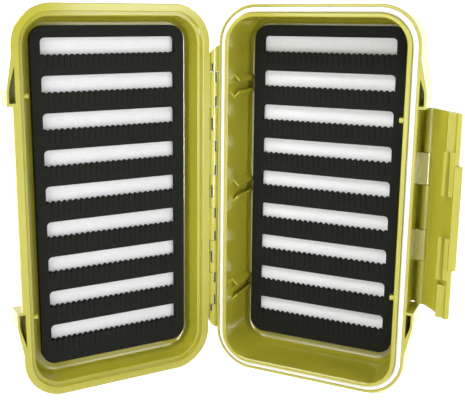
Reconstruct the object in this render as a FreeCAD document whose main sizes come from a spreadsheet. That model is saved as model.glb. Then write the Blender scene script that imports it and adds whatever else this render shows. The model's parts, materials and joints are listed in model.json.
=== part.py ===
import FreeCAD, Part
import math
import os
import Sketcher
from FreeCAD import Placement, Rotation, Vector

# Fly box that stands open on its short end, in millimetres.
# The base stands square to the frame and opens towards -Y; the lid is folded open about an upright hinge.
# The origin is the centre of the flat of the base's lower end, on the surface that the box stands on.

SIZES = {
    # Outline of the rim, which both halves share
    "box_length": 187.0,
    "rim_width": 98.4,
    "corner_radius": 19.0,
    "land_gap": 0.15,
    "wall_thickness": 2.2,
    "floor_thickness": 2.2,
    "wall_draft": 0.9,
    "edge_break": 0.35,
    # Deep half
    "base_depth": 28.0,
    "band_depth": 13.0,
    "base_back_round": 5.0,
    "base_floor_round": 2.6,
    "outer_land": 1.2,
    "groove_width": 2.8,
    "groove_depth": 1.5,
    "lip_width": 1.9,
    "lip_height": 1.85,
    # Shallow half
    "lid_depth": 15.4,
    "flange_depth": 3.1,
    "lid_back_round": 5.0,
    "lid_floor_round": 2.4,
    "lip_clearance": 0.25,
    "ledge_width": 1.95,
    "rebate_clearance": 0.3,
    # Gasket
    "gasket_clearance": 0.15,
    "gasket_proud": 0.2,
    # Foam sheets
    "backing_thickness": 2.0,
    "foam_thickness": 3.0,
    "foam_side_gap": 3.9,
    "foam_top_gap": 3.2,
    "foam_foot_gap": 6.2,
    "foam_radius": 7.0,
    "foam_top_margin": 5.5,
    "foam_foot_margin": 11.4,
    "window_side_margin": 4.75,
    "window_height": 8.55,
    "window_radius": 2.0,
    # Ribs and snap nubs inside the walls
    "rib_start": 5.5,
    "rib_reach": 3.0,
    "rib_thickness": 1.0,
    "rib_spread": 13.0,
    "rib_pitch": 53.6,
    "nub_radius": 1.3,
    "nub_length": 2.0,
    "base_nub_span": 84.3,
    "lid_nub_span": 105.0,
    "lid_nub_depth": 3.6,
    # Hinge
    "hinge_span": 139.6,
    "knuckle_pitch": 17.35,
    "knuckle_radius": 2.1,
    "knuckle_gap": 0.3,
    "hinge_clearance": 0.3,
    "hinge_pin_radius": 0.8,
    "hinge_pin_inset": 0.5,
    "running_gap": 0.05,
    "web_depth": 5.5,
    "middle_slot_length": 6.3,
    "end_slot_length": 5.0,
    "stub_slot_length": 4.0,
    "stub_taper": 4.0,
    "saddle_wrap": 60.0,
    "saddle_lip": 0.8,
    "opening_angle": 126.2,
    # Latch
    "latch_span": 94.6,
    "latch_drop": 0.6,
    "pivot_depth": 15.0,
    "barrel_radius": 2.4,
    "barrel_gap": 0.9,
    "latch_pin_radius": 0.75,
    "latch_pin_inset": 0.5,
    "bracket_length": 15.0,
    "bracket_offset": 18.5,
    "bracket_gusset": 3.0,
    "shelf_thickness": 1.5,
    "shelf_inset": 1.2,
    "latch_clearance": 0.35,
    "root_inner": 1.2,
    "root_reach": 4.2,
    "hollow_level": 0.3,
    "hollow_end": 13.5,
    "hollow_round": 30.0,
    "plate_outer": 2.0,
    "plate_round": 2.0,
    "block_round": 8.0,
    "upper_block_length": 19.3,
    "lower_block_length": 15.6,
    "hook_clearance": 0.35,
    "hook_bite": 0.8,
    "hook_thickness": 1.15,
    "hook_lead": 0.7,
    "hook_length": 20.0,
    "hook_offset": 19.5,
    "channel_width": 1.15,
    "channel_level": 1.2,
    "boss_level": 2.2,
    "tip_run": 4.7,
    "tip_inner": 1.0,
    "tip_rise": 1.0,
    "pull_length": 48.0,
    "pull_inner": 1.6,
    "pull_reach": 1.1,
    "pull_rise": 1.5,
    "latch_angle": 42.0,
    # Guards each side of the latch
    "guard_gap": 0.7,
    "lid_guard_gap": 1.0,
    "guard_wall": 1.0,
    "guard_end_wall": 1.3,
    "guard_flat": 7.5,
    "guard_run": 15.0,
    "guard_round": 12.0,
    "guard_floor": 1.5,
    "base_guard_bulge": 3.3,
    "lid_guard_bulge": 2.7,
    "lid_pocket_inset": 1.3,
    "base_pocket_run": 6.0,
    "lid_pocket_run": 10.5,
    "lid_guard_depth": 10.0,
    "guard_past_pivot": 1.2,
    # Bite of one feature into the next, and the overrun of cuts
    "bite": 0.8,
    "overrun": 1.0,
}
WINDOW_ROWS = 9
RIB_PAIRS = 3
BASE_KNUCKLES = 3
LID_KNUCKLES = 4

doc = FreeCAD.newDocument("fly_box")
sheet = doc.addObject("Spreadsheet::Sheet", "Sizes")
for row, (alias, number) in enumerate(SIZES.items(), start=1):
    sheet.set("A%d" % row, alias)
    sheet.set("B%d" % row, str(number))
    sheet.setAlias("B%d" % row, alias)
doc.recompute()

# Expressions that several features share, all in terms of the sheet's cells
S = "Sizes."
LAND = "-" + S + "land_gap"
HALF_WIDTH = S + "rim_width / 2"
MIDDLE = S + "box_length / 2"
LATCH_MIDDLE = "(%sbox_length / 2 - %slatch_drop)" % (S, S)
LIP_INSET = "(%souter_land + %sgroove_width)" % (S, S)
WALL_INSET = "(%s + %slip_width)" % (LIP_INSET, S)
BAND_STEP = "(%s - %swall_thickness)" % (WALL_INSET, S)
FLOOR_INSET = "(%s + %swall_draft)" % (WALL_INSET, S)
LEDGE_INSET = "(%s - %slip_clearance + %sledge_width)" % (LIP_INSET, S, S)
REBATE_INSET = "(%s - %slip_clearance)" % (LIP_INSET, S)
REBATE_LEVEL = "-(%slip_height + %srebate_clearance)" % (S, S)
FLANGE_STEP = "(%s - %swall_thickness)" % (LEDGE_INSET, S)
BASE_FLOOR = "-(%sbase_depth - %sfloor_thickness)" % (S, S)
LID_FLOOR = "-(%slid_depth - %sfloor_thickness)" % (S, S)
FOAM_WIDTH = "(%srim_width - 2 * (%s + %sfoam_side_gap))" % (S, FLOOR_INSET, S)
FOAM_FOOT = "(%s + %sfoam_foot_gap)" % (FLOOR_INSET, S)
FOAM_LENGTH = "(%sbox_length - %s - %s - %sfoam_top_gap)" % (S, FOAM_FOOT, FLOOR_INSET, S)
HINGE_X = "(%s + %sknuckle_radius + %shinge_clearance)" % (HALF_WIDTH, S, S)
PIVOT_X = "(%s + %sbarrel_radius + %sbarrel_gap)" % (HALF_WIDTH, S, S)


def value(expression):
    """Number that an expression of the sheet's cells gives."""
    return float(sheet.evalExpression(expression))


def size(name):
    """Number in one cell of the sheet."""
    return value(S + name)


def new_body(label, placement):
    body = doc.addObject("PartDesign::Body", label)
    body.Label = label
    body.Placement = placement
    return body


def origin_feature(body, role):
    return [item for item in body.Origin.OriginFeatures if item.Role == role][0]


def new_sketch(body, name, level="0", role="XY_Plane"):
    """Sketch parallel to one of the body's own planes, raised to a level given by an expression."""
    sketch = body.newObject("Sketcher::SketchObject", name)
    sketch.AttachmentSupport = [(origin_feature(body, role), "")]
    sketch.MapMode = "FlatFace"
    sketch.setExpression("AttachmentOffset.Base.z", level)
    return sketch


def add_rounded_rectangle(sketch, tag, inset, width=S + "rim_width", length=S + "box_length",
                          radius=S + "corner_radius", foot="0"):
    """Constrained rounded rectangle, centred across the box and drawn inset from the outline given."""
    half = value("%s / 2 - %s" % (width, inset))
    low = value("%s + %s" % (foot, inset))
    high = low + value("%s - 2 * %s" % (length, inset))
    round_radius = value("%s - %s" % (radius, inset))
    first = len(sketch.Geometry)
    up = Vector(0, 0, 1)
    corners = [(half, low, -90, (-1, 1)), (half, high, 0, (-1, -1)),
               (-half, high, 90, (1, -1)), (-half, low, 180, (1, 1))]
    ends = []
    arcs = []
    for x, y, start, (step_x, step_y) in corners:
        centre = Vector(x + step_x * round_radius, y + step_y * round_radius, 0)
        circle = Part.Circle(centre, up, round_radius)
        arc = Part.ArcOfCircle(circle, math.radians(start), math.radians(start + 90))
        arcs.append(arc)
        ends.append((arc.StartPoint, arc.EndPoint))
    for index, arc in enumerate(arcs):
        previous_end = ends[index - 1][1]
        sketch.addGeometry(Part.LineSegment(previous_end, ends[index][0]), False)
        sketch.addGeometry(arc, False)
    line = [first, first + 2, first + 4, first + 6]
    arc = [first + 1, first + 3, first + 5, first + 7]
    for index in range(4):
        following = line[(index + 1) % 4]
        sketch.addConstraint(Sketcher.Constraint("Tangent", line[index], 2, arc[index], 1))
        sketch.addConstraint(Sketcher.Constraint("Tangent", arc[index], 2, following, 1))
    for index in (0, 2):
        sketch.addConstraint(Sketcher.Constraint("Horizontal", line[index]))
    for index in (1, 3):
        sketch.addConstraint(Sketcher.Constraint("Vertical", line[index]))
    for index in (1, 2, 3):
        sketch.addConstraint(Sketcher.Constraint("Equal", arc[0], arc[index]))
    bound = [
        ("radius", Sketcher.Constraint("Radius", arc[0], round_radius), "%s - %s" % (radius, inset)),
        ("right", Sketcher.Constraint("DistanceX", -1, 1, line[1], 1, half), "%s / 2 - %s" % (width, inset)),
        ("left", Sketcher.Constraint("DistanceX", line[3], 1, -1, 1, half), "%s / 2 - %s" % (width, inset)),
        ("height", Sketcher.Constraint("DistanceY", line[0], 1, line[2], 1, high - low),
         "%s - 2 * %s" % (length, inset)),
    ]
    if low > 0:
        bound.append(("foot", Sketcher.Constraint("DistanceY", -1, 1, line[0], 1, low),
                      "%s + %s" % (foot, inset)))
    else:
        sketch.addConstraint(Sketcher.Constraint("PointOnObject", line[0], 1, -1))
    for name, constraint, expression in bound:
        number = sketch.addConstraint(constraint)
        sketch.renameConstraint(number, tag + "_" + name)
        sketch.setExpression("Constraints." + tag + "_" + name, expression)
    return sketch


def add_outline(sketch, corners):
    """Closed outline through (x, y) or (x, y, radius) corners, each radius rounded with a tangent arc."""
    points = [Vector(corner[0], corner[1], 0) for corner in corners]
    radii = [corner[2] if len(corner) > 2 else 0.0 for corner in corners]
    runs = []
    for index, corner in enumerate(points):
        radius = radii[index]
        if not radius:
            runs.append((corner, None, corner))
            continue
        before = (points[index - 1] - corner).normalize()
        after = (points[(index + 1) % len(points)] - corner).normalize()
        half_angle = before.getAngle(after) / 2
        setback = radius / math.tan(half_angle)
        bisector = (before + after).normalize()
        middle = corner + bisector * (radius / math.sin(half_angle) - radius)
        runs.append((corner + before * setback, middle, corner + after * setback))
    for index, (start, middle, end) in enumerate(runs):
        if middle is not None:
            sketch.addGeometry(Part.Arc(start, middle, end), False)
        following = runs[(index + 1) % len(runs)][0]
        if (following - end).Length > 1e-6:
            sketch.addGeometry(Part.LineSegment(end, following), False)
    return sketch


def add_circle(sketch, x, y, radius_expression, tag):
    drawn = Part.Circle(Vector(x, y, 0), Vector(0, 0, 1), value(radius_expression))
    circle = sketch.addGeometry(drawn, False)
    number = sketch.addConstraint(Sketcher.Constraint("Radius", circle, value(radius_expression)))
    sketch.renameConstraint(number, tag)
    sketch.setExpression("Constraints." + tag, radius_expression)
    return sketch


def extrude(body, kind, name, sketch, length, towards_normal):
    """Pad or Pocket of a sketch over a bound length, towards the sketch's normal or against it."""
    feature = body.newObject("PartDesign::" + kind, name)
    feature.Profile = sketch
    feature.setExpression("Length", length)
    feature.Reversed = towards_normal if kind == "Pocket" else not towards_normal
    body.Tip = feature
    doc.recompute()
    return feature


def pad(body, name, sketch, length, towards_normal=False):
    return extrude(body, "Pad", name, sketch, length, towards_normal)


def pocket(body, name, sketch, length, towards_normal=False):
    """Pocket that has to take material away, or the build stops."""
    before = body.Shape.Volume
    feature = extrude(body, "Pocket", name, sketch, length, towards_normal)
    if not body.Shape.Volume < before:
        raise RuntimeError("%s cuts nothing" % name)
    return feature


def repeat_along_y(body, name, feature, pitch, count):
    """Copies of one feature along the length of the box."""
    pattern = body.newObject("PartDesign::LinearPattern", name)
    pattern.Originals = [feature]
    pattern.Direction = (origin_feature(body, "Y_Axis"), [""])
    pattern.setExpression("Length", "%s * %d" % (pitch, count - 1))
    pattern.Occurrences = count
    body.Tip = pattern
    doc.recompute()
    return pattern


def ring_edges(shape, level, inset):
    """Names of the edges of one rounded rectangle, inset from the rim's outline, at one level."""
    names = []
    half = size("rim_width") / 2 - inset
    low = inset
    high = size("box_length") - inset
    radius = size("corner_radius") - inset
    for number, edge in enumerate(shape.Edges, start=1):
        box = edge.BoundBox
        if abs(box.ZMin - level) > 1e-3 or abs(box.ZMax - level) > 1e-3:
            continue
        if isinstance(edge.Curve, Part.Circle):
            on_ring = abs(edge.Curve.Radius - radius) < 1e-3
        else:
            upright = abs(abs(box.XMin) - half) < 1e-3 and abs(box.XMax - box.XMin) < 1e-3
            level_run = min(abs(box.YMin - low), abs(box.YMin - high)) < 1e-3
            on_ring = upright or (level_run and abs(box.YMax - box.YMin) < 1e-3)
        if on_ring:
            names.append("Edge%d" % number)
    return names


def dress_ring(body, kind, name, amount, rings):
    """Fillet or Chamfer of whole rings of edges, each given as (level, inset) expressions."""
    base = body.Tip
    edges = []
    for level, inset in rings:
        found = ring_edges(base.Shape, value(level), value(inset))
        if not found:
            raise RuntimeError("%s finds no edge at %s" % (name, level))
        edges += found
    feature = body.newObject("PartDesign::" + kind, name)
    feature.Base = (base, edges)
    feature.setExpression("Radius" if kind == "Fillet" else "Size", amount)
    body.Tip = feature
    doc.recompute()
    return feature


def fillet_ring(body, name, radius, rings):
    return dress_ring(body, "Fillet", name, radius, rings)


def break_ring(body, name, rings):
    """Small bevel that takes the sharpness off rings of edges."""
    return dress_ring(body, "Chamfer", name, S + "edge_break", rings)


def cut_cavity(body, rim_level, rim_inset, floor_level, floor_inset):
    """Drafted hollow of one half, from its rim down to its floor."""
    upper = add_rounded_rectangle(new_sketch(body, "cavity_rim", rim_level), "rim", rim_inset)
    lower = add_rounded_rectangle(new_sketch(body, "cavity_floor", floor_level), "floor", floor_inset)
    before = body.Shape.Volume
    feature = body.newObject("PartDesign::SubtractiveLoft", "cavity")
    feature.Profile = upper
    feature.Sections = [lower]
    feature.Ruled = True
    body.Tip = feature
    doc.recompute()
    if not body.Shape.Volume < before:
        raise RuntimeError("the cavity cuts nothing")
    return feature


def knuckle_outline(axis_x, side, depth):
    """Section of a hinge knuckle, a barrel with a web to the rim; side is +1 when the rim is at greater x."""
    radius = size("knuckle_radius")
    gap = size("hinge_clearance") + radius
    land = size("land_gap")
    reach = math.hypot(gap, depth)
    foot_angle = math.atan2(-depth, gap)
    touch_angle = foot_angle - math.acos(radius / reach)
    start_angle = -math.asin(land / radius)
    middle_angle = (start_angle + touch_angle + 2 * math.pi) / 2

    def at(angle, length=radius):
        return Vector(axis_x + side * length * math.cos(angle), length * math.sin(angle), 0)

    start = at(start_angle)
    middle = at(middle_angle)
    touch = at(touch_angle)
    rim_x = axis_x + side * (gap + size("bite"))
    foot = Vector(axis_x + side * gap, -depth, 0)
    foot_inside = Vector(rim_x, -depth, 0)
    top_inside = Vector(rim_x, -land, 0)
    return [Part.Arc(start, middle, touch), Part.LineSegment(touch, foot),
            Part.LineSegment(foot, foot_inside), Part.LineSegment(foot_inside, top_inside),
            Part.LineSegment(top_inside, start)]


def knuckle(body, name, axis_x, side, depth, foot, length):
    """One knuckle, from its foot up by its length; the sketch's plane faces -Y."""
    sketch = new_sketch(body, name + "_section", "-(%s)" % foot, "XZ_Plane")
    sketch.addGeometry(knuckle_outline(axis_x, side, depth), False)
    return pad(body, name, sketch, length)


def saddle(body, axis_x, side, depth):
    """Strip along the rim, hollowed to run round the other half's knuckles, so that no light passes."""
    land = size("land_gap")
    gap = size("hinge_clearance") + size("knuckle_radius")
    end_angle = -math.radians(size("saddle_wrap"))
    start_angle = -math.asin(land / gap)

    def at(angle):
        return Vector(axis_x + side * gap * math.cos(angle), gap * math.sin(angle), 0)

    start = at(start_angle)
    tip = at(end_angle)
    under = Vector(tip.x, tip.y - size("saddle_lip"), 0)
    foot = Vector(axis_x + side * gap, -depth, 0)
    rim_x = axis_x + side * (gap + size("bite"))
    foot_inside = Vector(rim_x, -depth, 0)
    top_inside = Vector(rim_x, -land, 0)
    sketch = new_sketch(body, "saddle_section", "-(%s - %shinge_span / 2)" % (MIDDLE, S), "XZ_Plane")
    sketch.addGeometry([Part.Arc(start, at((start_angle + end_angle) / 2), tip), Part.LineSegment(tip, under),
                        Part.LineSegment(under, foot), Part.LineSegment(foot, foot_inside),
                        Part.LineSegment(foot_inside, top_inside),
                        Part.LineSegment(top_inside, start)], False)
    return pad(body, "saddle", sketch, S + "hinge_span")


def bore(body, name, axis_x, axis_z, radius, foot, length):
    """Round hole along the length of the box."""
    sketch = new_sketch(body, name + "_circle", "-(%s)" % foot, "XZ_Plane")
    add_circle(sketch, axis_x, axis_z, radius, "bore_radius")
    return pocket(body, name, sketch, length)


def guard(body, name, side, end, start, bulge, inner_inset, root_inset, depth, pocket_run):
    """Hollow wedge beside the latch; side is +1 or -1 in x, and end +1 for the upper guard."""
    edge = size("rim_width") / 2
    flat = start + end * size("guard_flat")
    far = flat + end * size("guard_run")
    root = edge - root_inset
    outline = [(root, start), (edge + bulge, start), (edge + bulge, flat, size("guard_round")),
               (edge, far), (root, far + end * root_inset)]
    solid = new_sketch(body, name + "_outline", LAND)
    add_outline(solid, [(side * x, y, *radius) for x, y, *radius in outline])
    pad(body, name, solid, "%s - %sland_gap" % (depth, S))
    inner = edge - inner_inset
    outer = edge + bulge - size("guard_wall")
    floor = start + end * size("guard_end_wall")
    apex = flat + end * size(pocket_run)
    hollow = [(inner, floor), (outer, floor), (outer, flat, size("guard_round")), (inner, apex)]
    opening = new_sketch(body, name + "_hollow_outline", "0")
    add_outline(opening, [(side * x, y, *radius) for x, y, *radius in hollow])
    return pocket(body, name + "_hollow", opening, "%s - %sguard_floor" % (depth, S))


def drafted_tub(body, back_level, step):
    """Outer skin behind the rim band, drawn in a little towards the back."""
    front = add_rounded_rectangle(new_sketch(body, "tub_front", LAND), "front", step)
    back_inset = "(%s + %swall_draft)" % (step, S)
    back = add_rounded_rectangle(new_sketch(body, "tub_back", back_level), "back", back_inset)
    feature = body.newObject("PartDesign::AdditiveLoft", "tub")
    feature.Profile = front
    feature.Sections = [back]
    feature.Ruled = True
    body.Tip = feature
    doc.recompute()
    return feature


def nubs(body, name, side, wall_inset, level, span):
    """Two small snap nubs that stand out of the wall on the latch side, a span apart."""
    for tag, sign in (("_upper", "+"), ("_lower", "-")):
        nub = body.newObject("PartDesign::AdditiveCylinder", name + tag)
        nub.AttachmentSupport = [(origin_feature(body, "YZ_Plane"), "")]
        nub.MapMode = "FlatFace"
        nub.setExpression("Radius", S + "nub_radius")
        nub.setExpression("Height", "%snub_length + %sbite + %swall_draft" % (S, S, S))
        nub.setExpression("AttachmentOffset.Base.x", "%s %s %s / 2" % (MIDDLE, sign, span))
        nub.setExpression("AttachmentOffset.Base.y", level)
        offset = "%s - %s - %snub_length" % (HALF_WIDTH, wall_inset, S)
        if side < 0:
            offset = "-(%s - %s + %sbite + %swall_draft)" % (HALF_WIDTH, wall_inset, S, S)
        nub.setExpression("AttachmentOffset.Base.z", offset)
        body.Tip = nub
        doc.recompute()


def slots(body, name, axis_x, spans):
    """Moulded slots in the faces of the knuckles, down to the pin's bore and as wide as the pin."""
    sketch = new_sketch(body, name + "_outline", "%sknuckle_radius + %soverrun" % (S, S))
    half = size("hinge_pin_radius")
    for low, high in spans:
        add_outline(sketch, [(axis_x - half, low), (axis_x + half, low), (axis_x + half, high),
                             (axis_x - half, high)])
    return pocket(body, name, sketch, "%sknuckle_radius + %soverrun" % (S, S))


def build_base(placement):
    """Deep half: band, tub, sealing lip, gasket groove, ribs, hinge knuckles, latch brackets and guards."""
    body = new_body("base_shell", placement)
    back_level = "-%sbase_depth" % S
    band_level = "-%sband_depth" % S
    band = add_rounded_rectangle(new_sketch(body, "band_outline", LAND), "band", "0")
    pad(body, "band", band, "%sband_depth - %sland_gap" % (S, S))
    drafted_tub(body, back_level, BAND_STEP)
    fillet_ring(body, "back_round", S + "base_back_round",
                [(back_level, "(%s + %swall_draft)" % (BAND_STEP, S))])
    break_ring(body, "band_breaks", [(LAND, "0"), (band_level, "0")])

    guard_depth = "(%spivot_depth + %sguard_past_pivot)" % (S, S)
    guard_root = value("%s + %swall_draft + %sbite" % (BAND_STEP, S, S))
    for name, end, sign in (("upper_guard", 1, "+"), ("lower_guard", -1, "-")):
        start = value("%s %s (%slatch_span / 2 + %sguard_gap)" % (LATCH_MIDDLE, sign, S, S))
        guard(body, name, 1, end, start, size("base_guard_bulge"), 0.0, guard_root, guard_depth,
              "base_pocket_run")

    middle = value(MIDDLE)
    pivot_x = value(PIVOT_X)
    pivot_z = -size("pivot_depth")
    barrel = size("barrel_radius")
    root_x = size("rim_width") / 2 - guard_root
    for name, sign in (("upper_bracket", "+"), ("lower_bracket", "-")):
        foot = "%s %s %sbracket_offset - %sbracket_length / 2" % (MIDDLE, sign, S, S)
        section = new_sketch(body, name + "_section", "-(%s)" % foot, "XZ_Plane")
        top_left = Vector(root_x, pivot_z + barrel, 0)
        top = Vector(pivot_x, pivot_z + barrel, 0)
        side = Vector(pivot_x + barrel, pivot_z, 0)
        bottom = Vector(pivot_x, pivot_z - barrel, 0)
        bottom_left = Vector(root_x, pivot_z - barrel - size("bracket_gusset"), 0)
        section.addGeometry([Part.LineSegment(top_left, top), Part.Arc(top, side, bottom),
                             Part.LineSegment(bottom, bottom_left),
                             Part.LineSegment(bottom_left, top_left)], False)
        pad(body, name, section, S + "bracket_length")
    shelf_top = pivot_z - barrel - size("latch_clearance")
    shelf_foot = shelf_top - size("shelf_thickness")
    shelf_edge = pivot_x - size("shelf_inset")
    shelf_end = "-(%s - %slatch_span / 2 - %sguard_gap)" % (LATCH_MIDDLE, S, S)
    shelf = new_sketch(body, "shelf_section", shelf_end, "XZ_Plane")
    add_outline(shelf, [(root_x, shelf_top), (shelf_edge, shelf_top), (shelf_edge, shelf_foot),
                        (root_x, shelf_foot)])
    pad(body, "shelf", shelf, "%slatch_span + 2 * %sguard_gap" % (S, S))

    axis_x = -value(HINGE_X)
    pitch = size("knuckle_pitch")
    gap = size("knuckle_gap")
    first = knuckle(body, "knuckle", axis_x, 1, size("web_depth"),
                    "%s - %d * %sknuckle_pitch - (%sknuckle_pitch - %sknuckle_gap) / 2"
                    % (MIDDLE, BASE_KNUCKLES - 1, S, S, S), "%sknuckle_pitch - %sknuckle_gap" % (S, S))
    repeat_along_y(body, "knuckles", first, "2 * %sknuckle_pitch" % S, BASE_KNUCKLES)
    inner_end = BASE_KNUCKLES + 0.5
    stub_length = "%shinge_span / 2 + %sstub_taper - %s * %sknuckle_pitch - %sknuckle_gap / 2" % (
        S, S, inner_end, S, S)
    knuckle(body, "upper_stub", axis_x, 1, size("web_depth"),
            "%s + %s * %sknuckle_pitch + %sknuckle_gap / 2" % (MIDDLE, inner_end, S, S), stub_length)
    knuckle(body, "lower_stub", axis_x, 1, size("web_depth"),
            "%s - %shinge_span / 2 - %sstub_taper" % (MIDDLE, S, S), stub_length)
    saddle(body, axis_x, 1, size("web_depth"))
    over = size("overrun")
    outer_x = axis_x - size("knuckle_radius")
    rim_x = -size("rim_width") / 2
    tapers = new_sketch(body, "stub_taper_outline", "%sknuckle_radius + %soverrun" % (S, S))
    for end in (1, -1):
        square_end = middle + end * size("hinge_span") / 2
        far_end = square_end + end * size("stub_taper")
        add_outline(tapers, [(outer_x - over, square_end), (outer_x, square_end), (rim_x, far_end),
                             (rim_x, far_end + end * over), (outer_x - over, far_end + end * over)])
    pocket(body, "stub_tapers", tapers, "%sknuckle_radius + %sweb_depth + 2 * %soverrun" % (S, S, S))

    lip = add_rounded_rectangle(new_sketch(body, "lip_outline", LAND), "lip", LIP_INSET)
    pad(body, "lip", lip, "%slip_height + %sland_gap" % (S, S), towards_normal=True)
    groove = new_sketch(body, "groove_outline", LAND)
    add_rounded_rectangle(groove, "outer", "%souter_land" % S)
    add_rounded_rectangle(groove, "inner", LIP_INSET)
    pocket(body, "groove", groove, S + "groove_depth")
    cut_cavity(body, S + "lip_height", WALL_INSET, BASE_FLOOR, FLOOR_INSET)
    fillet_ring(body, "floor_round", S + "base_floor_round", [(BASE_FLOOR, FLOOR_INSET)])
    break_ring(body, "lip_breaks", [(S + "lip_height", LIP_INSET), (S + "lip_height", WALL_INSET)])

    wall = -(size("rim_width") / 2 - value(WALL_INSET))
    bite = size("bite")
    reach = size("rib_reach")
    across = size("rib_thickness") * math.sqrt(2)
    ribs = new_sketch(body, "rib_outline", "-%srib_start" % S)
    for pair in range(RIB_PAIRS):
        centre = middle + (pair - (RIB_PAIRS - 1) / 2) * size("rib_pitch")
        for end in (1, -1):
            root = centre + end * size("rib_spread") / 2
            add_outline(ribs, [(wall - bite, root + end * bite), (wall + reach, root - end * reach),
                               (wall + reach, root - end * (reach + across)),
                               (wall - bite, root + end * (bite - across))])
    pad(body, "ribs", ribs, "%sbase_depth - %sfloor_thickness + %sbite - %srib_start" % (S, S, S, S))
    nubs(body, "nub", 1, WALL_INSET, "0", S + "base_nub_span")

    bore(body, "hinge_bore", axis_x, 0.0, "%shinge_pin_radius + %srunning_gap" % (S, S),
         "%s - %shinge_span / 2" % (MIDDLE, S), "%shinge_span + %sstub_taper + %soverrun" % (S, S, S))
    bore(body, "latch_bore", pivot_x, pivot_z, "%slatch_pin_radius + %srunning_gap" % (S, S),
         "%s - %slatch_span / 2" % (LATCH_MIDDLE, S), S + "latch_span")
    half_slot = size("middle_slot_length") / 2
    spans = []
    for number in range(BASE_KNUCKLES):
        centre = middle + (2 * number - BASE_KNUCKLES + 1) * pitch
        spans.append((centre - half_slot, centre + half_slot))
    stub_end = inner_end * pitch + gap / 2
    spans.append((middle + stub_end - gap, middle + stub_end + size("stub_slot_length")))
    spans.append((middle - stub_end - size("stub_slot_length"), middle - stub_end + gap))
    slots(body, "knuckle_slots", axis_x, spans)
    return body


def build_lid(placement):
    """Shallow half: rim flange for the latch's hooks, rebate for the sealing lip, knuckles and guards."""
    body = new_body("lid_shell", placement)
    back_level = "-%slid_depth" % S
    flange = add_rounded_rectangle(new_sketch(body, "flange_outline", LAND), "flange", "0")
    pad(body, "flange", flange, "%sflange_depth - %sland_gap" % (S, S))
    drafted_tub(body, back_level, FLANGE_STEP)
    fillet_ring(body, "back_round", S + "lid_back_round",
                [(back_level, "(%s + %swall_draft)" % (FLANGE_STEP, S))])
    break_ring(body, "flange_breaks", [(LAND, "0"), ("-%sflange_depth" % S, "0")])

    guard_root = value("%s + %swall_draft + %sbite" % (FLANGE_STEP, S, S))
    for name, end, sign in (("upper_guard", 1, "+"), ("lower_guard", -1, "-")):
        start = value("%s %s (%slatch_span / 2 + %slid_guard_gap)" % (MIDDLE, sign, S, S))
        guard(body, name, -1, end, start, size("lid_guard_bulge"), size("lid_pocket_inset"), guard_root,
              S + "lid_guard_depth", "lid_pocket_run")

    axis_x = value(HINGE_X)
    first = knuckle(body, "knuckle", axis_x, -1, size("flange_depth"),
                    "%s - %d * %sknuckle_pitch - (%sknuckle_pitch - %sknuckle_gap) / 2"
                    % (MIDDLE, LID_KNUCKLES - 1, S, S, S), "%sknuckle_pitch - %sknuckle_gap" % (S, S))
    repeat_along_y(body, "knuckles", first, "2 * %sknuckle_pitch" % S, LID_KNUCKLES)
    saddle(body, axis_x, -1, size("flange_depth"))

    rebate = add_rounded_rectangle(new_sketch(body, "rebate_outline", "0"), "rebate", REBATE_INSET)
    pocket(body, "rebate", rebate, "-(%s)" % REBATE_LEVEL)
    cut_cavity(body, REBATE_LEVEL, LEDGE_INSET, LID_FLOOR, FLOOR_INSET)
    fillet_ring(body, "floor_round", S + "lid_floor_round", [(LID_FLOOR, FLOOR_INSET)])
    break_ring(body, "rim_breaks", [(LAND, REBATE_INSET), (REBATE_LEVEL, LEDGE_INSET)])
    nubs(body, "nub", -1, LEDGE_INSET, "-%slid_nub_depth" % S, S + "lid_nub_span")

    bore(body, "hinge_bore", axis_x, 0.0, "%shinge_pin_radius + %srunning_gap" % (S, S),
         "%s - %shinge_span / 2" % (MIDDLE, S), "%shinge_span" % S)
    pitch = size("knuckle_pitch")
    gap = size("knuckle_gap")
    spans = []
    for number in range(LID_KNUCKLES):
        centre = value(MIDDLE) + (2 * number - LID_KNUCKLES + 1) * pitch
        low = centre - (pitch - gap) / 2
        high = centre + (pitch - gap) / 2
        spans.append((low - gap / 2, low + size("end_slot_length")))
        spans.append((high - size("end_slot_length"), high + gap / 2))
    slots(body, "knuckle_slots", axis_x, spans)
    return body


def build_gasket(placement):
    body = new_body("gasket", placement)
    section = new_sketch(body, "gasket_outline", "-(%sland_gap + %sgroove_depth)" % (S, S))
    add_rounded_rectangle(section, "outer", "(%souter_land + %sgasket_clearance)" % (S, S))
    add_rounded_rectangle(section, "inner", "(%s - %sgasket_clearance)" % (LIP_INSET, S))
    pad(body, "gasket_ring", section, "%sgroove_depth + %sgasket_proud" % (S, S), towards_normal=True)
    return body


def foam_outline(body, name, level):
    sketch = new_sketch(body, name, level)
    return add_rounded_rectangle(sketch, "foam", "0", FOAM_WIDTH, FOAM_LENGTH, S + "foam_radius", FOAM_FOOT)


def build_backing(label, placement, floor_level):
    """White foam sheet that lies on the floor of one half."""
    body = new_body(label, placement)
    pad(body, "sheet", foam_outline(body, "sheet_outline", floor_level), S + "backing_thickness", True)
    return body


def build_foam(label, placement, floor_level):
    """Black foam sheet with rows of windows that show the white sheet behind."""
    body = new_body(label, placement)
    level = "%s + %sbacking_thickness" % (floor_level, S)
    pad(body, "sheet", foam_outline(body, "sheet_outline", level), S + "foam_thickness", True)
    half = value(FOAM_WIDTH) / 2 - size("window_side_margin")
    low = value(FOAM_FOOT) + size("foam_foot_margin")
    high = low + size("window_height")
    corners = [(half, high, size("window_radius")), (-half, high, size("window_radius")),
               (-half, low), (half, low)]
    window = new_sketch(body, "window_outline", "%s + %sfoam_thickness" % (level, S))
    add_outline(window, corners)
    first = pocket(body, "window", window, "%sfoam_thickness + %soverrun" % (S, S))
    pitch = "((%s - %sfoam_top_margin - %sfoam_foot_margin - %swindow_height) / %d)" % (
        FOAM_LENGTH, S, S, S, WINDOW_ROWS - 1)
    repeat_along_y(body, "windows", first, pitch, WINDOW_ROWS)
    return body


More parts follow.
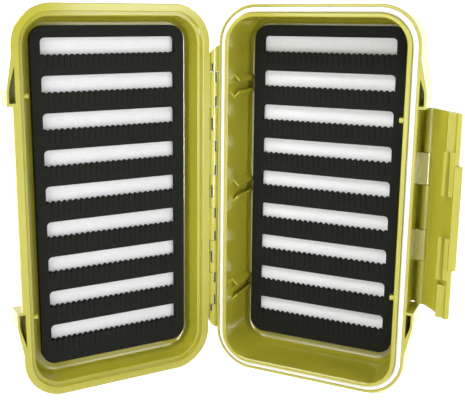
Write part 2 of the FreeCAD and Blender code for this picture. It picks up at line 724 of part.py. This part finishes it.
def build_latch(placement):
    """Latch plate, drawn closed: x runs forward from its pivot over the rims, y outward and z up."""
    body = new_body("latch", placement)
    span = S + "latch_span"
    box_middle = "%slatch_span / 2 + %slatch_drop" % (S, S)
    barrel = size("barrel_radius")
    rim = -(barrel + size("barrel_gap"))
    block_inner = rim + size("latch_clearance")
    flange_end = size("pivot_depth") + size("flange_depth")
    hook = flange_end + size("hook_clearance")
    tip = flange_end + size("tip_run")
    bevel = size("tip_rise")
    tip_inner = -size("tip_inner")
    outer = size("plate_outer")
    hollow = size("hollow_level")
    plate = add_outline(new_sketch(body, "plate_outline"), [
        (0.0, -size("root_inner")), (size("root_reach"), hollow, size("plate_round")),
        (size("hollow_end"), hollow, size("hollow_round")), (tip, tip_inner), (tip, outer - bevel),
        (tip - bevel, outer), (barrel, outer, size("plate_round")), (0.0, barrel)])
    pad(body, "plate", plate, span, True)
    barrel_circle = add_circle(new_sketch(body, "barrel_circle"), 0.0, 0.0, S + "barrel_radius", "barrel")
    pad(body, "barrel", barrel_circle, span, True)

    upper_foot = "%s - %supper_block_length" % (span, S)
    for name, level in (("lower_block", "0"), ("upper_block", upper_foot)):
        block = add_outline(new_sketch(body, name + "_outline", level), [
            (size("root_reach"), hollow), (size("hollow_end"), hollow, size("block_round")),
            (flange_end + size("hook_clearance") / 2, block_inner), (tip, outer - bevel),
            (tip - bevel, outer), (size("root_reach"), outer)])
        pad(body, name, block, S + name + "_length", True)
    hook_far = hook + size("hook_thickness")
    hook_top = rim - size("hook_bite")
    boss = hook_far + size("channel_width")
    for name, sign in (("upper_hook", "+"), ("lower_hook", "-")):
        level = "%s %s %shook_offset - %shook_length / 2" % (box_middle, sign, S, S)
        rib = add_outline(new_sketch(body, name + "_outline", level), [
            (hook, hollow), (hook, hook_top), (hook_far, hook_top + size("hook_lead")),
            (hook_far, -size("channel_level")), (boss, -size("channel_level")), (boss, -size("boss_level")),
            (tip, tip_inner), (tip - bevel, hollow)])
        pad(body, name, rib, S + "hook_length", True)
    level = "(%s - %spull_length) / 2" % (span, S)
    pull_x = tip + size("pull_reach")
    pull = add_outline(new_sketch(body, "pull_outline", level), [
        (tip - bevel, tip_inner), (pull_x, -size("pull_inner")), (pull_x, outer - bevel / 2),
        (pull_x - bevel / 2, outer + size("pull_rise") / 2), (tip - size("tip_run") / 2, outer)])
    pad(body, "pull", pull, S + "pull_length", True)

    notch = barrel + size("latch_clearance")
    wide = notch + size("overrun")
    for name, sign in (("upper_notch", "+"), ("lower_notch", "-")):
        level = "%s %s %sbracket_offset + %sbracket_length / 2 + %sknuckle_gap" % (box_middle, sign, S, S, S)
        opening = add_outline(new_sketch(body, name + "_outline", level), [
            (-wide, -wide), (notch, -wide), (notch, wide), (-wide, wide)])
        pocket(body, name, opening, "%sbracket_length + 2 * %sknuckle_gap" % (S, S))
    hole = add_circle(new_sketch(body, "pin_bore_circle", span), 0.0, 0.0,
                      "%slatch_pin_radius + %srunning_gap" % (S, S), "pin_bore")
    pocket(body, "pin_bore", hole, span)
    return body


def build_pin(label, radius, length, place):
    pin = doc.addObject("Part::Cylinder", label)
    pin.Label = label
    pin.setExpression("Radius", radius)
    pin.setExpression("Height", length)
    pin.Placement = place
    return pin


# Places of the halves, the latch and the two pins in the box's own frame
UP = Vector(0, 0, 1)
STAND = Placement(Vector(0, 0, 0), Rotation(Vector(1, 0, 0), 90))
rim_y = -size("band_depth") / 2
axis = Vector(-value(HINGE_X), rim_y, 0)
pivot = Vector(value(PIVOT_X), rim_y + size("pivot_depth"), 0)
base_place = Placement(Vector(0, rim_y, 0), Rotation()).multiply(STAND)
fold = Placement(axis, Rotation(UP, 180 - size("opening_angle")))
lid_place = fold.multiply(Placement(Vector(-value(HINGE_X), 0, 0), Rotation())).multiply(STAND)
latch_foot = value("%s - %slatch_span / 2" % (LATCH_MIDDLE, S))
latch_place = Placement(pivot + UP * latch_foot, Rotation(UP, size("latch_angle") - 90))

hinge_pin_foot = value("%s - %shinge_span / 2 + %shinge_pin_inset" % (MIDDLE, S, S))

pieces = [
    build_base(base_place),
    build_lid(lid_place),
    build_gasket(base_place),
    build_backing("base_backing", base_place, BASE_FLOOR),
    build_foam("base_foam", base_place, BASE_FLOOR),
    build_backing("lid_backing", lid_place, LID_FLOOR),
    build_foam("lid_foam", lid_place, LID_FLOOR),
    build_latch(latch_place),
    build_pin("hinge_pin", S + "hinge_pin_radius", "%shinge_span - 2 * %shinge_pin_inset" % (S, S),
              Placement(axis + UP * hinge_pin_foot, Rotation())),
    build_pin("latch_pin", S + "latch_pin_radius", "%slatch_span - 2 * %slatch_pin_inset" % (S, S),
              Placement(pivot + UP * (latch_foot + size("latch_pin_inset")), Rotation())),
]
doc.recompute()

faults = [item.Label for item in doc.Objects if "Invalid" in item.State or "Error" in item.State]
for piece in pieces:
    if piece.Shape.isNull() or not piece.Shape.isValid():
        faults.append(piece.Label)
if faults:
    raise RuntimeError("not sound: " + ", ".join(faults))

os.makedirs("parts", exist_ok=True)
for piece in pieces:
    piece.Shape.exportStep(os.path.join("parts", piece.Label + ".step"))
    print("%s: %d solid, %.1f mm3" % (piece.Label, len(piece.Shape.Solids), piece.Shape.Volume))
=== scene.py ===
"""Looks of a fly box that stands open on its short end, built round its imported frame, in metres."""
import json
import math

import bmesh
import bpy
from mathutils import Matrix, Vector


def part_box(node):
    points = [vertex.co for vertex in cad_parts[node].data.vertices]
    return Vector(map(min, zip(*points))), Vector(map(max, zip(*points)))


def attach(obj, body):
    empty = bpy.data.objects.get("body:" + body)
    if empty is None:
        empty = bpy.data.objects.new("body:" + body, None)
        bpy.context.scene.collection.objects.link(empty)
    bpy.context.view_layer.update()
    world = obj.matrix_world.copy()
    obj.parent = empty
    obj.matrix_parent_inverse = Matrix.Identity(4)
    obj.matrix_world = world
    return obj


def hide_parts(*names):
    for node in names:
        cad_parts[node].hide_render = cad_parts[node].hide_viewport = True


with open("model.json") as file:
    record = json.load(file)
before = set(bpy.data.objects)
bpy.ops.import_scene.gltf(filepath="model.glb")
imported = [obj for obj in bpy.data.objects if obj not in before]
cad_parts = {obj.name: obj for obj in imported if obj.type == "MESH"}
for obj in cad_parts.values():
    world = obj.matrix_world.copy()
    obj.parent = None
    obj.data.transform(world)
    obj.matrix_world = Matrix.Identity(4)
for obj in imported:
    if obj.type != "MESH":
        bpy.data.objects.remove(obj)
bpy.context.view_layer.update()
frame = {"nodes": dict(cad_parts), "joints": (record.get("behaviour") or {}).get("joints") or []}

MM = 0.001
QUARTER_TURN = math.pi / 2

# Photograph's frame and the camera that was fitted to it, in pixels, millimetres and degrees
PHOTO_WIDTH = 465
PHOTO_HEIGHT = 414
FOCAL_PIXELS = 782.8
CENTRE_PIXEL = (207.7, 179.3)
SENSOR_WIDTH = 36.0
CLIP_START = 10.0
CAMERA_FROM_HINGE = (-10.0, -391.9)
CAMERA_HEIGHT = 182.3
CAMERA_YAW = -1.014
CAMERA_PITCH = -11.93
CAMERA_ROLL = -0.23
BASE_TURN = 26.92

# Black foam: rows of windows, teeth and slits
WINDOW_ROWS = 9
TEETH = 24
TOP_MARGIN = 5.5 * MM
FOOT_MARGIN = 11.4 * MM
SIDE_MARGIN = 4.75 * MM
WINDOW_HEIGHT = 8.55 * MM
WINDOW_RADIUS = 2.0 * MM
WINDOW_STEPS = 6
TOOTH_HEIGHT = 1.0 * MM
TOOTH_SHARES = ((0.36, 0.8), (0.5, 1.0), (0.64, 0.8))
SLIT_WIDTH = 0.16 * MM
SLIT_LENGTH = 5.6 * MM
FOAM_RADIUS = 7.0 * MM
FOAM_SOFT_EDGE = 0.07 * MM

# White sheets, and what all the flat sheets share
BACKING_INSET = 0.9 * MM
BACKING_SOFT_EDGE = 0.3 * MM
SHEET_STEPS = 8
EDGE_ROUNDS = 2
SHEET_WELD = 0.002 * MM

# Gasket
RIM_RADIUS = 19.0 * MM
GASKET_INSET = 1.24 * MM
GASKET_WIDTH = 2.72 * MM
GASKET_SPREAD = 0.11 * MM
GASKET_CROWN = 0.75 * MM
GASKET_STEPS = 24
CROWN_STEPS = 8
GASKET_WELD = 0.001 * MM

# Colours, as red, green and blue
OLIVE_DARK = (0.39, 0.363, 0.027)
OLIVE_LIGHT = (0.43, 0.401, 0.034)
BLACK_DARK = (0.006, 0.0065, 0.0045)
BLACK_LIGHT = (0.013, 0.014, 0.0105)
WHITE_DARK = (0.74, 0.75, 0.76)
WHITE_LIGHT = (0.82, 0.825, 0.83)
SILICONE_DARK = (0.83, 0.81, 0.77)
SILICONE_LIGHT = (0.9, 0.885, 0.85)
WIRE_DARK = (0.42, 0.42, 0.41)
WIRE_LIGHT = (0.6, 0.6, 0.58)
PAPER_DARK = (0.9, 0.9, 0.9)
PAPER_LIGHT = (0.93, 0.93, 0.93)
WHITE = (1, 1, 1, 1)

# Values that are the same all over a surface, by the shader's sockets
PLASTIC = {
    "Specular IOR Level": 0.5,
    "IOR": 1.5,
    "Coat Roughness": 0.12,
    "Subsurface Weight": 0.1,
    "Subsurface Radius": (1.0, 0.9, 0.25),
    "Subsurface Scale": 1.0 * MM,
}
SILICONE = {
    "Roughness": 0.42,
    "Subsurface Weight": 0.35,
    "Subsurface Radius": (1.0, 0.9, 0.8),
    "Subsurface Scale": 1.0 * MM,
}
FOAM_SPECULAR = 0.12
PAPER = {"Roughness": 0.8, "Emission Color": WHITE}

# Shares of a material's roughness where it is handled most and least, and of a foam's cells in its grain
SMOOTH_SHARE = 0.8
ROUGH_SHARE = 1.35
GRAIN_SHARE = 0.4

# Floor and surround: sizes in metres, brightness as shares of white
FLOOR_WIDTH = 6.0
FLOOR_FRONT = -3.0
FLOOR_BACK = 2.4
SWEEP_RADIUS = 0.9
SWEEP_STEPS = 12
SWEEP_TOP = 4.0
GLOW_START = 0.5
GLOW_END = 1.6
FLOOR_GLOW = 0.4
FAR_GLOW = 0.85
SURROUND = 0.18
SURROUND_SEEN = 1.0

# Lights: power in watts, sizes and distances in metres, places as (turn, height, distance) with the angles in
# degrees, or as (right, ahead, up)
AIM_HEIGHT = 0.09
KEY_POWER = 11.8
KEY_PLACE = (-40, 48, 1.5)
KEY_SIZE = (0.9, 0.6)
CARD_POWER = 0.9
CARD_PLACE = (0, -0.34, 0.105)
CARD_SIZE = (0.05, 0.21)
BOX_POWERS = {"left": 1.0, "right": 4.0}
BOX_PLACE = (54, 24, 1.4)
BOX_SIZE = (0.7, 1.1)
STRIP_POWER = 0.6
STRIP_PLACE = (0.30, -0.34, 0.24)
STRIP_SIZE = (0.14, 0.46)
RIM_POWER = 9.0
RIM_PLACE = (122, 22, 1.2)
RIM_SIZE = (0.6, 1.0)

joints = {joint["name"]: joint for joint in frame["joints"]}
hinge_point = Vector(joints["lid_hinge"]["pos_m"])
lid_fold = math.pi - math.radians(joints["lid_hinge"]["range_deg"][1])

BASE_PLACE = Matrix.Identity(4)
LID_PLACE = (Matrix.Translation(hinge_point) @ Matrix.Rotation(lid_fold, 4, "Z")
             @ Matrix.Translation(-hinge_point))


def flat_box(node, place):
    """Lowest and highest corners of a CAD node with the lid laid flat beside the base, both facing -Y."""
    back = place.inverted()
    points = [back @ vertex.co for vertex in frame["nodes"][node].data.vertices]
    low = Vector([min(point[i] for point in points) for i in range(3)])
    high = Vector([max(point[i] for point in points) for i in range(3)])
    return low, high


def add_object(name, data):
    """New object of a mesh, light or camera in the scene."""
    thing = bpy.data.objects.new(name, data)
    bpy.context.scene.collection.objects.link(thing)
    return thing


def finish_mesh(work, name):
    """Smooth mesh of a bmesh, which is freed."""
    for face in work.faces:
        face.smooth = True
    mesh = bpy.data.meshes.new(name)
    work.to_mesh(mesh)
    work.free()
    return mesh


# Materials
def new_material(name):
    """Material, its node tree, its shader, and coordinates that ride with the piece."""
    material = bpy.data.materials.new(name)
    material.use_nodes = True
    tree = material.node_tree
    coordinates = tree.nodes.new("ShaderNodeTexCoord")
    return material, tree, tree.nodes["Principled BSDF"], coordinates.outputs["Object"]


def set_sockets(node, values):
    """Fixed values of a shader or another node, by socket."""
    for socket, value in values.items():
        node.inputs[socket].default_value = value


def noise(tree, coordinates, scale, detail=2.0, roughness=0.5):
    """Grey noise; its scale is in cycles to a metre."""
    node = tree.nodes.new("ShaderNodeTexNoise")
    node.inputs["Scale"].default_value = scale
    node.inputs["Detail"].default_value = detail
    node.inputs["Roughness"].default_value = roughness
    tree.links.new(coordinates, node.inputs["Vector"])
    return node.outputs["Fac"]


def ramp(tree, factor, socket, first, last, start=0.3, end=0.7):
    """Blend from the first to the last colour or grey, as the factor goes from start to end, into a socket."""
    node = tree.nodes.new("ShaderNodeValToRGB")
    for element, position, value in zip(node.color_ramp.elements, (start, end), (first, last)):
        element.position = position
        element.color = (*value, 1.0) if isinstance(value, tuple) else (value, value, value, 1.0)
    tree.links.new(factor, node.inputs["Fac"])
    tree.links.new(node.outputs["Color"], socket)


def bump(tree, shader, height, strength, distance):
    node = tree.nodes.new("ShaderNodeBump")
    node.inputs["Strength"].default_value = strength
    node.inputs["Distance"].default_value = distance
    tree.links.new(height, node.inputs["Height"])
    tree.links.new(node.outputs["Normal"], shader.inputs["Normal"])


def moulded_plastic(name, roughness, coat):
    """Moulded plastic: slow shifts of colour, a faint orange peel and handling marks in its gloss."""
    material, tree, shader, coordinates = new_material(name)
    clouds = noise(tree, coordinates, scale=18.0, detail=3.0)
    ramp(tree, clouds, shader.inputs["Base Color"], OLIVE_DARK, OLIVE_LIGHT)
    smears = noise(tree, coordinates, scale=90.0, detail=4.0, roughness=0.6)
    ramp(tree, smears, shader.inputs["Roughness"], roughness * SMOOTH_SHARE, roughness * ROUGH_SHARE,
         start=0.35, end=0.75)
    set_sockets(shader, PLASTIC)
    shader.inputs["Coat Weight"].default_value = coat
    peel = noise(tree, coordinates, scale=420.0, detail=1.0)
    bump(tree, shader, peel, strength=0.04, distance=0.2 * MM)
    return material


def cell_foam(name, dark, light, roughness, cell_scale, depth):
    """Closed-cell foam: fine cells in its surface, and fine grain in its colour."""
    material, tree, shader, coordinates = new_material(name)
    cells = tree.nodes.new("ShaderNodeTexVoronoi")
    cells.inputs["Scale"].default_value = cell_scale
    tree.links.new(coordinates, cells.inputs["Vector"])
    grain = noise(tree, coordinates, scale=cell_scale * GRAIN_SHARE, detail=5.0, roughness=0.7)
    height = tree.nodes.new("ShaderNodeMath")
    height.operation = "MULTIPLY"
    tree.links.new(cells.outputs["Distance"], height.inputs[0])
    tree.links.new(grain, height.inputs[1])
    ramp(tree, grain, shader.inputs["Base Color"], dark, light, end=0.72)
    set_sockets(shader, {"Roughness": roughness, "Specular IOR Level": FOAM_SPECULAR})
    bump(tree, shader, height.outputs[0], strength=0.5, distance=depth)
    return material


def silicone(name):
    """Soft white silicone with slow clouding and a very fine grain."""
    material, tree, shader, coordinates = new_material(name)
    clouds = noise(tree, coordinates, scale=40.0)
    ramp(tree, clouds, shader.inputs["Base Color"], SILICONE_DARK, SILICONE_LIGHT)
    set_sockets(shader, SILICONE)
    bump(tree, shader, noise(tree, coordinates, scale=900.0), strength=0.05, distance=0.1 * MM)
    return material


def drawn_wire(name):
    """Steel wire with the streaks of its drawing along Z."""
    material, tree, shader, coordinates = new_material(name)
    stretch = tree.nodes.new("ShaderNodeMapping")
    stretch.inputs["Scale"].default_value = (1.0, 1.0, 0.03)
    tree.links.new(coordinates, stretch.inputs["Vector"])
    streaks = noise(tree, stretch.outputs["Vector"], scale=4000.0, detail=3.0)
    ramp(tree, streaks, shader.inputs["Base Color"], WIRE_DARK, WIRE_LIGHT)
    ramp(tree, streaks, shader.inputs["Roughness"], 0.25, 0.42)
    set_sockets(shader, {"Metallic": 1.0})
    bump(tree, shader, streaks, strength=0.1, distance=0.02 * MM)
    return material


materials = {
    "shell": moulded_plastic("olive_plastic", roughness=0.15, coat=0.6),
    "latch": moulded_plastic("latch_plastic", roughness=0.42, coat=0.0),
    "black_foam": cell_foam("black_foam", BLACK_DARK, BLACK_LIGHT, roughness=0.8, cell_scale=2600.0, depth=0.1 * MM),
    "white_foam": cell_foam("white_foam", WHITE_DARK, WHITE_LIGHT, roughness=0.9, cell_scale=2200.0, depth=0.06 * MM),
    "gasket": silicone("gasket_silicone"),
    "wire": drawn_wire("drawn_wire"),
}

# CAD nodes that stay get new materials alone
for node, material in (("base_shell", "shell"), ("lid_shell", "shell"), ("latch", "latch"),
                       ("hinge_pin", "wire"), ("latch_pin", "wire")):
    slots = frame["nodes"][node].data.materials
    slots.clear()
    slots.append(materials[material])


# Foam sheets
def arc_points(centre, radius, start, end, steps):
    """Points of an arc in the plane of a sheet, angles in quarter turns."""
    points = []
    for step in range(steps + 1):
        angle = (start + (end - start) * step / steps) * QUARTER_TURN
        points.append((centre[0] + radius * math.cos(angle), centre[1] + radius * math.sin(angle)))
    return points


def rounded_rectangle(left, low, right, high, radius, steps=SHEET_STEPS):
    """Outline that starts at its lower right corner."""
    corners = [((right - radius, low + radius), 3), ((right - radius, high - radius), 0),
               ((left + radius, high - radius), 1), ((left + radius, low + radius), 2)]
    outline = []
    for centre, quarter in corners:
        outline += arc_points(centre, radius, quarter, quarter + 1, steps)
    return outline


def window_outline(left, low, right, high):
    """One window: rounded upper corners, and a lower edge of teeth with a slit down between each two."""
    radius, half_slit = WINDOW_RADIUS, SLIT_WIDTH / 2
    outline = arc_points((right - radius, high - radius), radius, 0, 1, WINDOW_STEPS)
    outline += arc_points((left + radius, high - radius), radius, 1, 2, WINDOW_STEPS)
    outline.append((left, low))
    tooth = (right - left) / TEETH
    for number in range(TEETH):
        start = left + number * tooth
        outline += [(start + tooth * across, low + TOOTH_HEIGHT * up) for across, up in TOOTH_SHARES]
        notch = start + tooth
        if number < TEETH - 1:
            outline += [(notch - half_slit, low), (notch - half_slit, low - SLIT_LENGTH),
                        (notch + half_slit, low - SLIT_LENGTH), (notch + half_slit, low)]
        else:
            outline.append((right, low))
    return outline


def flat_sheet(name, loops, box, soft_edge, place):
    """Sheet with holes, softly rounded along every cut edge, where its CAD node lies."""
    low, high = box
    curve = bpy.data.curves.new(name, "CURVE")
    curve.dimensions = "2D"
    curve.fill_mode = "BOTH"
    curve.extrude = (high.y - low.y) / 2 - soft_edge
    curve.bevel_depth = soft_edge
    curve.bevel_resolution = EDGE_ROUNDS
    curve.offset = -soft_edge
    for loop in loops:
        spline = curve.splines.new("POLY")
        spline.points.add(len(loop) - 1)
        for point, (x, y) in zip(spline.points, loop):
            point.co = (x, y, 0, 1)
        spline.use_cyclic_u = True
    drawing = add_object(name + "_drawing", curve)
    bpy.context.view_layer.update()
    mesh = bpy.data.meshes.new_from_object(drawing)
    bpy.data.objects.remove(drawing)
    stand = Matrix.Translation((0, (low.y + high.y) / 2, 0)) @ Matrix.Rotation(QUARTER_TURN, 4, "X")
    mesh.transform(place @ stand)
    mesh.name = name
    work = bmesh.new()
    work.from_mesh(mesh)
    bmesh.ops.remove_doubles(work, verts=work.verts, dist=SHEET_WELD)
    bmesh.ops.recalc_face_normals(work, faces=work.faces)
    work.to_mesh(mesh)
    work.free()
    return add_object(name, mesh)


def finish_soft(piece, node, body, material):
    """Material, body and slot of a soft piece, and the CAD node that it stands for."""
    piece.data.materials.append(materials[material])
    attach(piece, body)
    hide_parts(node)


def add_backing(node, body, place):
    """White foam sheet behind the black one."""
    low, high = flat_box(node, place)
    inset = BACKING_INSET
    loops = [rounded_rectangle(low.x + inset, low.z + inset, high.x - inset, high.z - inset, FOAM_RADIUS - inset)]
    piece = flat_sheet(node + "_sheet", loops, (low, high), BACKING_SOFT_EDGE, place)
    finish_soft(piece, node, body, "white_foam")


def add_foam(node, body, place):
    """Black slit foam with its rows of windows."""
    low, high = flat_box(node, place)
    loops = [rounded_rectangle(low.x, low.z, high.x, high.z, FOAM_RADIUS)]
    pitch = (high.z - low.z - TOP_MARGIN - FOOT_MARGIN - WINDOW_HEIGHT) / (WINDOW_ROWS - 1)
    for row in range(WINDOW_ROWS):
        foot = low.z + FOOT_MARGIN + row * pitch
        loops.append(window_outline(low.x + SIDE_MARGIN, foot, high.x - SIDE_MARGIN, foot + WINDOW_HEIGHT))
    piece = flat_sheet(node + "_slit", loops, (low, high), FOAM_SOFT_EDGE, place)
    finish_soft(piece, node, body, "black_foam")


add_backing("base_backing", "base", BASE_PLACE)
add_backing("lid_backing", "lid", LID_PLACE)
add_foam("base_foam", "base", BASE_PLACE)
add_foam("lid_foam", "lid", LID_PLACE)


# Gasket
def add_gasket():
    """Silicone ring with a crowned face, swept round the groove that it fills."""
    low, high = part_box("gasket")
    outer = RIM_RADIUS - GASKET_INSET
    half = GASKET_WIDTH / 2
    side = half - GASKET_SPREAD
    profile = [(-half, high.y), (-half, low.y + GASKET_CROWN)]
    for step in range(1, CROWN_STEPS):
        angle = math.pi - math.pi * step / CROWN_STEPS
        profile.append((half * math.cos(angle), low.y + GASKET_CROWN * (1 - math.sin(angle))))
    profile += [(half, low.y + GASKET_CROWN), (half, high.y)]
    work = bmesh.new()
    rings = []
    for offset, y in profile:
        inset = side + offset
        loop = rounded_rectangle(low.x + inset, low.z + inset, high.x - inset, high.z - inset, outer - inset,
                                 GASKET_STEPS)
        rings.append([work.verts.new((x, y, z)) for x, z in loop])
    for first, second in zip(rings, rings[1:] + rings[:1]):
        for index in range(len(first)):
            following = (index + 1) % len(first)
            work.faces.new((first[index], first[following], second[following], second[index]))
    bmesh.ops.remove_doubles(work, verts=work.verts, dist=GASKET_WELD)
    bmesh.ops.recalc_face_normals(work, faces=work.faces)
    piece = add_object("gasket_ring", finish_mesh(work, "gasket_ring"))
    piece.data.materials.append(materials["gasket"])
    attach(piece, "base")
    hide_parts("gasket")


add_gasket()


# Camera
def add_camera():
    """Camera at the fitted place; its own axes are right, up and back."""
    turn = Matrix.Rotation(math.radians(BASE_TURN), 4, "Z")
    tilt = (Matrix.Rotation(math.radians(CAMERA_YAW), 4, "Z") @ Matrix.Rotation(math.radians(CAMERA_PITCH), 4, "X")
            @ Matrix.Rotation(math.radians(CAMERA_ROLL), 4, "Y"))
    look = (turn @ tilt).to_3x3()
    right, ahead, up = look.col[0], look.col[1], look.col[2]
    from_hinge = turn.to_3x3() @ (Vector((*CAMERA_FROM_HINGE, 0)) * MM)
    place = Vector((hinge_point.x, hinge_point.y, CAMERA_HEIGHT * MM)) + from_hinge
    data = bpy.data.cameras.new("camera")
    data.sensor_width = SENSOR_WIDTH
    data.lens = FOCAL_PIXELS / PHOTO_WIDTH * SENSOR_WIDTH
    data.shift_x = (PHOTO_WIDTH / 2 - CENTRE_PIXEL[0]) / PHOTO_WIDTH
    data.shift_y = (CENTRE_PIXEL[1] - PHOTO_HEIGHT / 2) / PHOTO_WIDTH
    data.clip_start = CLIP_START * MM
    camera = add_object("camera", data)
    axes = Matrix((right, up, -ahead)).transposed()
    camera.matrix_world = Matrix.Translation(place) @ axes.to_4x4()
    bpy.context.scene.camera = camera


add_camera()


# Studio
def studio_point(right, ahead, up):
    """Point of the studio by its place to the camera's right, away from the camera and up, in metres."""
    return Matrix.Rotation(math.radians(BASE_TURN), 3, "Z") @ Vector((right, ahead, up))


def polar_point(side, azimuth, elevation, distance):
    """Point by its turn from the camera's side, to the left or right, its height in degrees and its distance."""
    turn, rise = math.radians(side * azimuth), math.radians(elevation)
    return studio_point(distance * math.sin(turn) * math.cos(rise), -distance * math.cos(turn) * math.cos(rise),
                        AIM_HEIGHT + distance * math.sin(rise))


def add_area(name, place, target, size, power):
    """Soft rectangular light that the camera doesn't see."""
    data = bpy.data.lights.new(name, "AREA")
    data.shape = "RECTANGLE"
    data.size, data.size_y = size
    data.energy = power
    light = add_object(name, data)
    light.visible_camera = False
    light.location = place
    light.rotation_euler = (Vector(target) - Vector(place)).to_track_quat("-Z", "Y").to_euler()
    return light


def floor_paper():
    """White paper that glows more the further it is from the box."""
    material, tree, shader, coordinates = new_material("floor_paper")
    ramp(tree, noise(tree, coordinates, scale=3.0), shader.inputs["Base Color"], PAPER_DARK, PAPER_LIGHT)
    set_sockets(shader, PAPER)
    away = tree.nodes.new("ShaderNodeVectorMath")
    away.operation = "LENGTH"
    tree.links.new(coordinates, away.inputs[0])
    glow = tree.nodes.new("ShaderNodeMapRange")
    set_sockets(glow, {"From Min": GLOW_START, "From Max": GLOW_END, "To Min": FLOOR_GLOW, "To Max": FAR_GLOW})
    tree.links.new(away.outputs["Value"], glow.inputs["Value"])
    tree.links.new(glow.outputs["Result"], shader.inputs["Emission Strength"])
    return material


def add_floor():
    """White floor that sweeps up into a backdrop."""
    work = bmesh.new()
    bend = FLOOR_BACK - SWEEP_RADIUS
    path = [(FLOOR_FRONT, 0.0), (bend, 0.0)]
    for step in range(1, SWEEP_STEPS + 1):
        angle = step / SWEEP_STEPS * QUARTER_TURN
        path.append((bend + SWEEP_RADIUS * math.sin(angle), SWEEP_RADIUS * (1 - math.cos(angle))))
    path.append((FLOOR_BACK, SWEEP_TOP))
    rows = [[work.verts.new(studio_point(side * FLOOR_WIDTH / 2, y, z)) for side in (-1, 1)] for y, z in path]
    for near, far in zip(rows, rows[1:]):
        work.faces.new((near[0], near[1], far[1], far[0]))
    floor = add_object("floor", finish_mesh(work, "floor"))
    floor.data.materials.append(floor_paper())


def add_surround():
    """White world, dim as a light and bright where the camera sees it."""
    world = bpy.data.worlds.new("surround")
    world.use_nodes = True
    tree = world.node_tree
    background = tree.nodes["Background"]
    background.inputs["Color"].default_value = WHITE
    seen = tree.nodes.new("ShaderNodeMapRange")
    set_sockets(seen, {"To Min": SURROUND, "To Max": SURROUND_SEEN})
    tree.links.new(tree.nodes.new("ShaderNodeLightPath").outputs["Is Camera Ray"], seen.inputs["Value"])
    tree.links.new(seen.outputs["Result"], background.inputs["Strength"])
    bpy.context.scene.world = world


def add_lights():
    """High key light on the left, card in front for the gloss, and a soft box, strip and rim light on each side."""
    centre = studio_point(0, 0, AIM_HEIGHT)
    add_area("key_light", polar_point(1, *KEY_PLACE), centre, KEY_SIZE, KEY_POWER)
    front = studio_point(*CARD_PLACE)
    card = add_area("front_card", front, (centre.x, centre.y, front.z), CARD_SIZE, CARD_POWER)
    card.visible_diffuse = False
    right, ahead, up = STRIP_PLACE
    for name, side in (("left", -1), ("right", 1)):
        add_area(name + "_soft_box", polar_point(side, *BOX_PLACE), centre, BOX_SIZE, BOX_POWERS[name])
        strip = studio_point(side * right, ahead, up)
        add_area(name + "_strip_light", strip, (centre.x, centre.y, strip.z), STRIP_SIZE, STRIP_POWER)
        add_area(name + "_rim_light", polar_point(side, *RIM_PLACE), centre, RIM_SIZE, RIM_POWER)


add_floor()
add_surround()
add_lights()
bpy.context.scene.view_settings.view_transform = "Standard"
